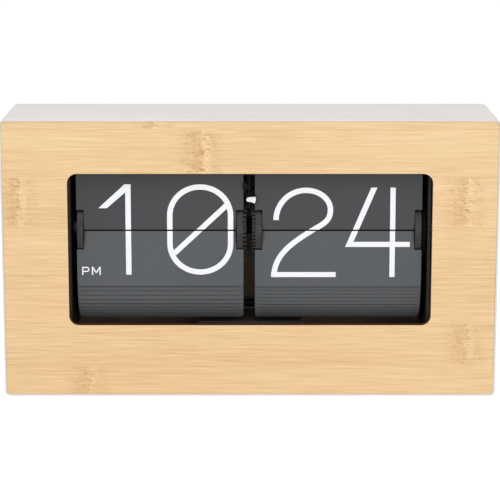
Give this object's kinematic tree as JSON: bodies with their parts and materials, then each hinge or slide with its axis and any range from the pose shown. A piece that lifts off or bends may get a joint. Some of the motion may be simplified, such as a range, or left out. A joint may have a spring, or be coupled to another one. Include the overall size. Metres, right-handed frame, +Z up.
{
  "type": "flip clock",
  "caption": "Wide box flip clock with a bamboo front, a window, two drums of split leaves and a rear battery door.",
  "frame": {"origin": "middle of the case's resting face", "axes": "+Z up, front towards -Y, +X to the right"},
  "size_m": [0.36, 0.085, 0.205],
  "materials": {
    "case": "fine matt paint",
    "bamboo": "satin lacquer",
    "leaf": "matt",
    "black_plastic": "satin",
    "frame": "black paint",
    "steel": "zinc plated",
    "nylon": "natural",
    "brass": "machined",
    "cell": "printed sleeve, bare of words",
    "lead_red": "pvc",
    "lead_black": "pvc"
  },
  "bodies": {
    "case": {"case_shell": "case", "front_panel": "bamboo", "rear_cover": "black_plastic", "hour_finger": "black_plastic", "drive_unit": "black_plastic", "battery_box": "black_plastic", "side_plate_left": "frame", "side_plate_right": "frame", "crossbar_front_low": "frame", "crossbar_front_high": "frame", "crossbar_rear_low": "frame", "crossbar_rear_high": "frame", "centre_bracket": "frame", "setting_bracket": "frame", "rear_screw_1": "steel", "rear_screw_2": "steel", "rear_screw_3": "steel", "rear_screw_4": "steel", "frame_screw_1": "steel", "frame_screw_2": "steel", "frame_screw_3": "steel", "frame_screw_4": "steel", "main_axle": "steel", "axle_nut_left": "steel", "axle_nut_right": "steel", "contact_left": "steel", "contact_right": "steel", "contact_spring": "steel", "minute_finger": "nylon", "axle_spacer": "nylon", "minute_lower_leaves": "leaf", "minute_upper_leaves": "leaf", "hour_lower_leaves": "leaf", "hour_upper_leaves": "leaf", "battery_cell": "cell", "lead_red": "lead_red", "lead_black": "lead_black"},
    "minute_drum": {"minute_hub": "black_plastic", "minute_inner_wheel": "black_plastic", "minute_outer_wheel": "black_plastic", "minute_gear": "black_plastic"},
    "hour_drum": {"hour_hub": "black_plastic", "hour_inner_wheel": "black_plastic", "hour_outer_wheel": "black_plastic"},
    "minute_flap_body": {"minute_flap": "leaf"},
    "hour_flap_body": {"hour_flap": "leaf"},
    "carry": {"carry_pinion": "black_plastic", "carry_star": "black_plastic"},
    "motor_output": {"output_pinion": "brass"},
    "time_setting": {"setting_shaft": "steel", "setting_gear": "nylon", "setting_wheel": "black_plastic"},
    "door": {"battery_door": "black_plastic"}
  },
  "joints": [
    {"name": "minute_drum_turn", "type": "hinge", "parent": "case", "child": "minute_drum", "pos_m": [0.06425, -0.0089, 0.1206], "axis": [1, 0, 0], "continuous": true},
    {"name": "hour_drum_turn", "type": "hinge", "parent": "case", "child": "hour_drum", "pos_m": [-0.06545, -0.0089, 0.1206], "axis": [1, 0, 0], "continuous": true},
    {"name": "carry_turn", "type": "hinge", "parent": "case", "child": "carry", "pos_m": [-0.0006, 0.00871, 0.14575], "axis": [1, 0, 0], "continuous": true},
    {"name": "motor_turn", "type": "hinge", "parent": "case", "child": "motor_output", "pos_m": [0.127, -0.00385, 0.09194], "axis": [1, 0, 0], "continuous": true},
    {"name": "setting_turn", "type": "hinge", "parent": "case", "child": "time_setting", "pos_m": [0.142, 0.0268, 0.12596], "axis": [1, 0, 0], "continuous": true},
    {"name": "minute_flap_fall", "type": "hinge", "parent": "case", "child": "minute_flap_body", "pos_m": [0.06425, -0.0345, 0.12402], "axis": [1, 0, 0], "range_deg": [0, 181]},
    {"name": "hour_flap_fall", "type": "hinge", "parent": "case", "child": "hour_flap_body", "pos_m": [-0.06545, -0.0345, 0.12402], "axis": [1, 0, 0], "range_deg": [0, 181]},
    {"name": "battery_door_pull", "type": "slide", "parent": "case", "child": "door", "axis": [0, 1, 0], "range_m": [0, 0.025]}
  ],
  "couplings": [
    {"joint": "hour_drum_turn", "follows": "minute_drum_turn", "ratio": 0.041667},
    {"joint": "carry_turn", "follows": "minute_drum_turn", "ratio": -0.25},
    {"joint": "motor_turn", "follows": "minute_drum_turn", "ratio": -4.8},
    {"joint": "setting_turn", "follows": "minute_drum_turn", "ratio": -2}
  ]
}
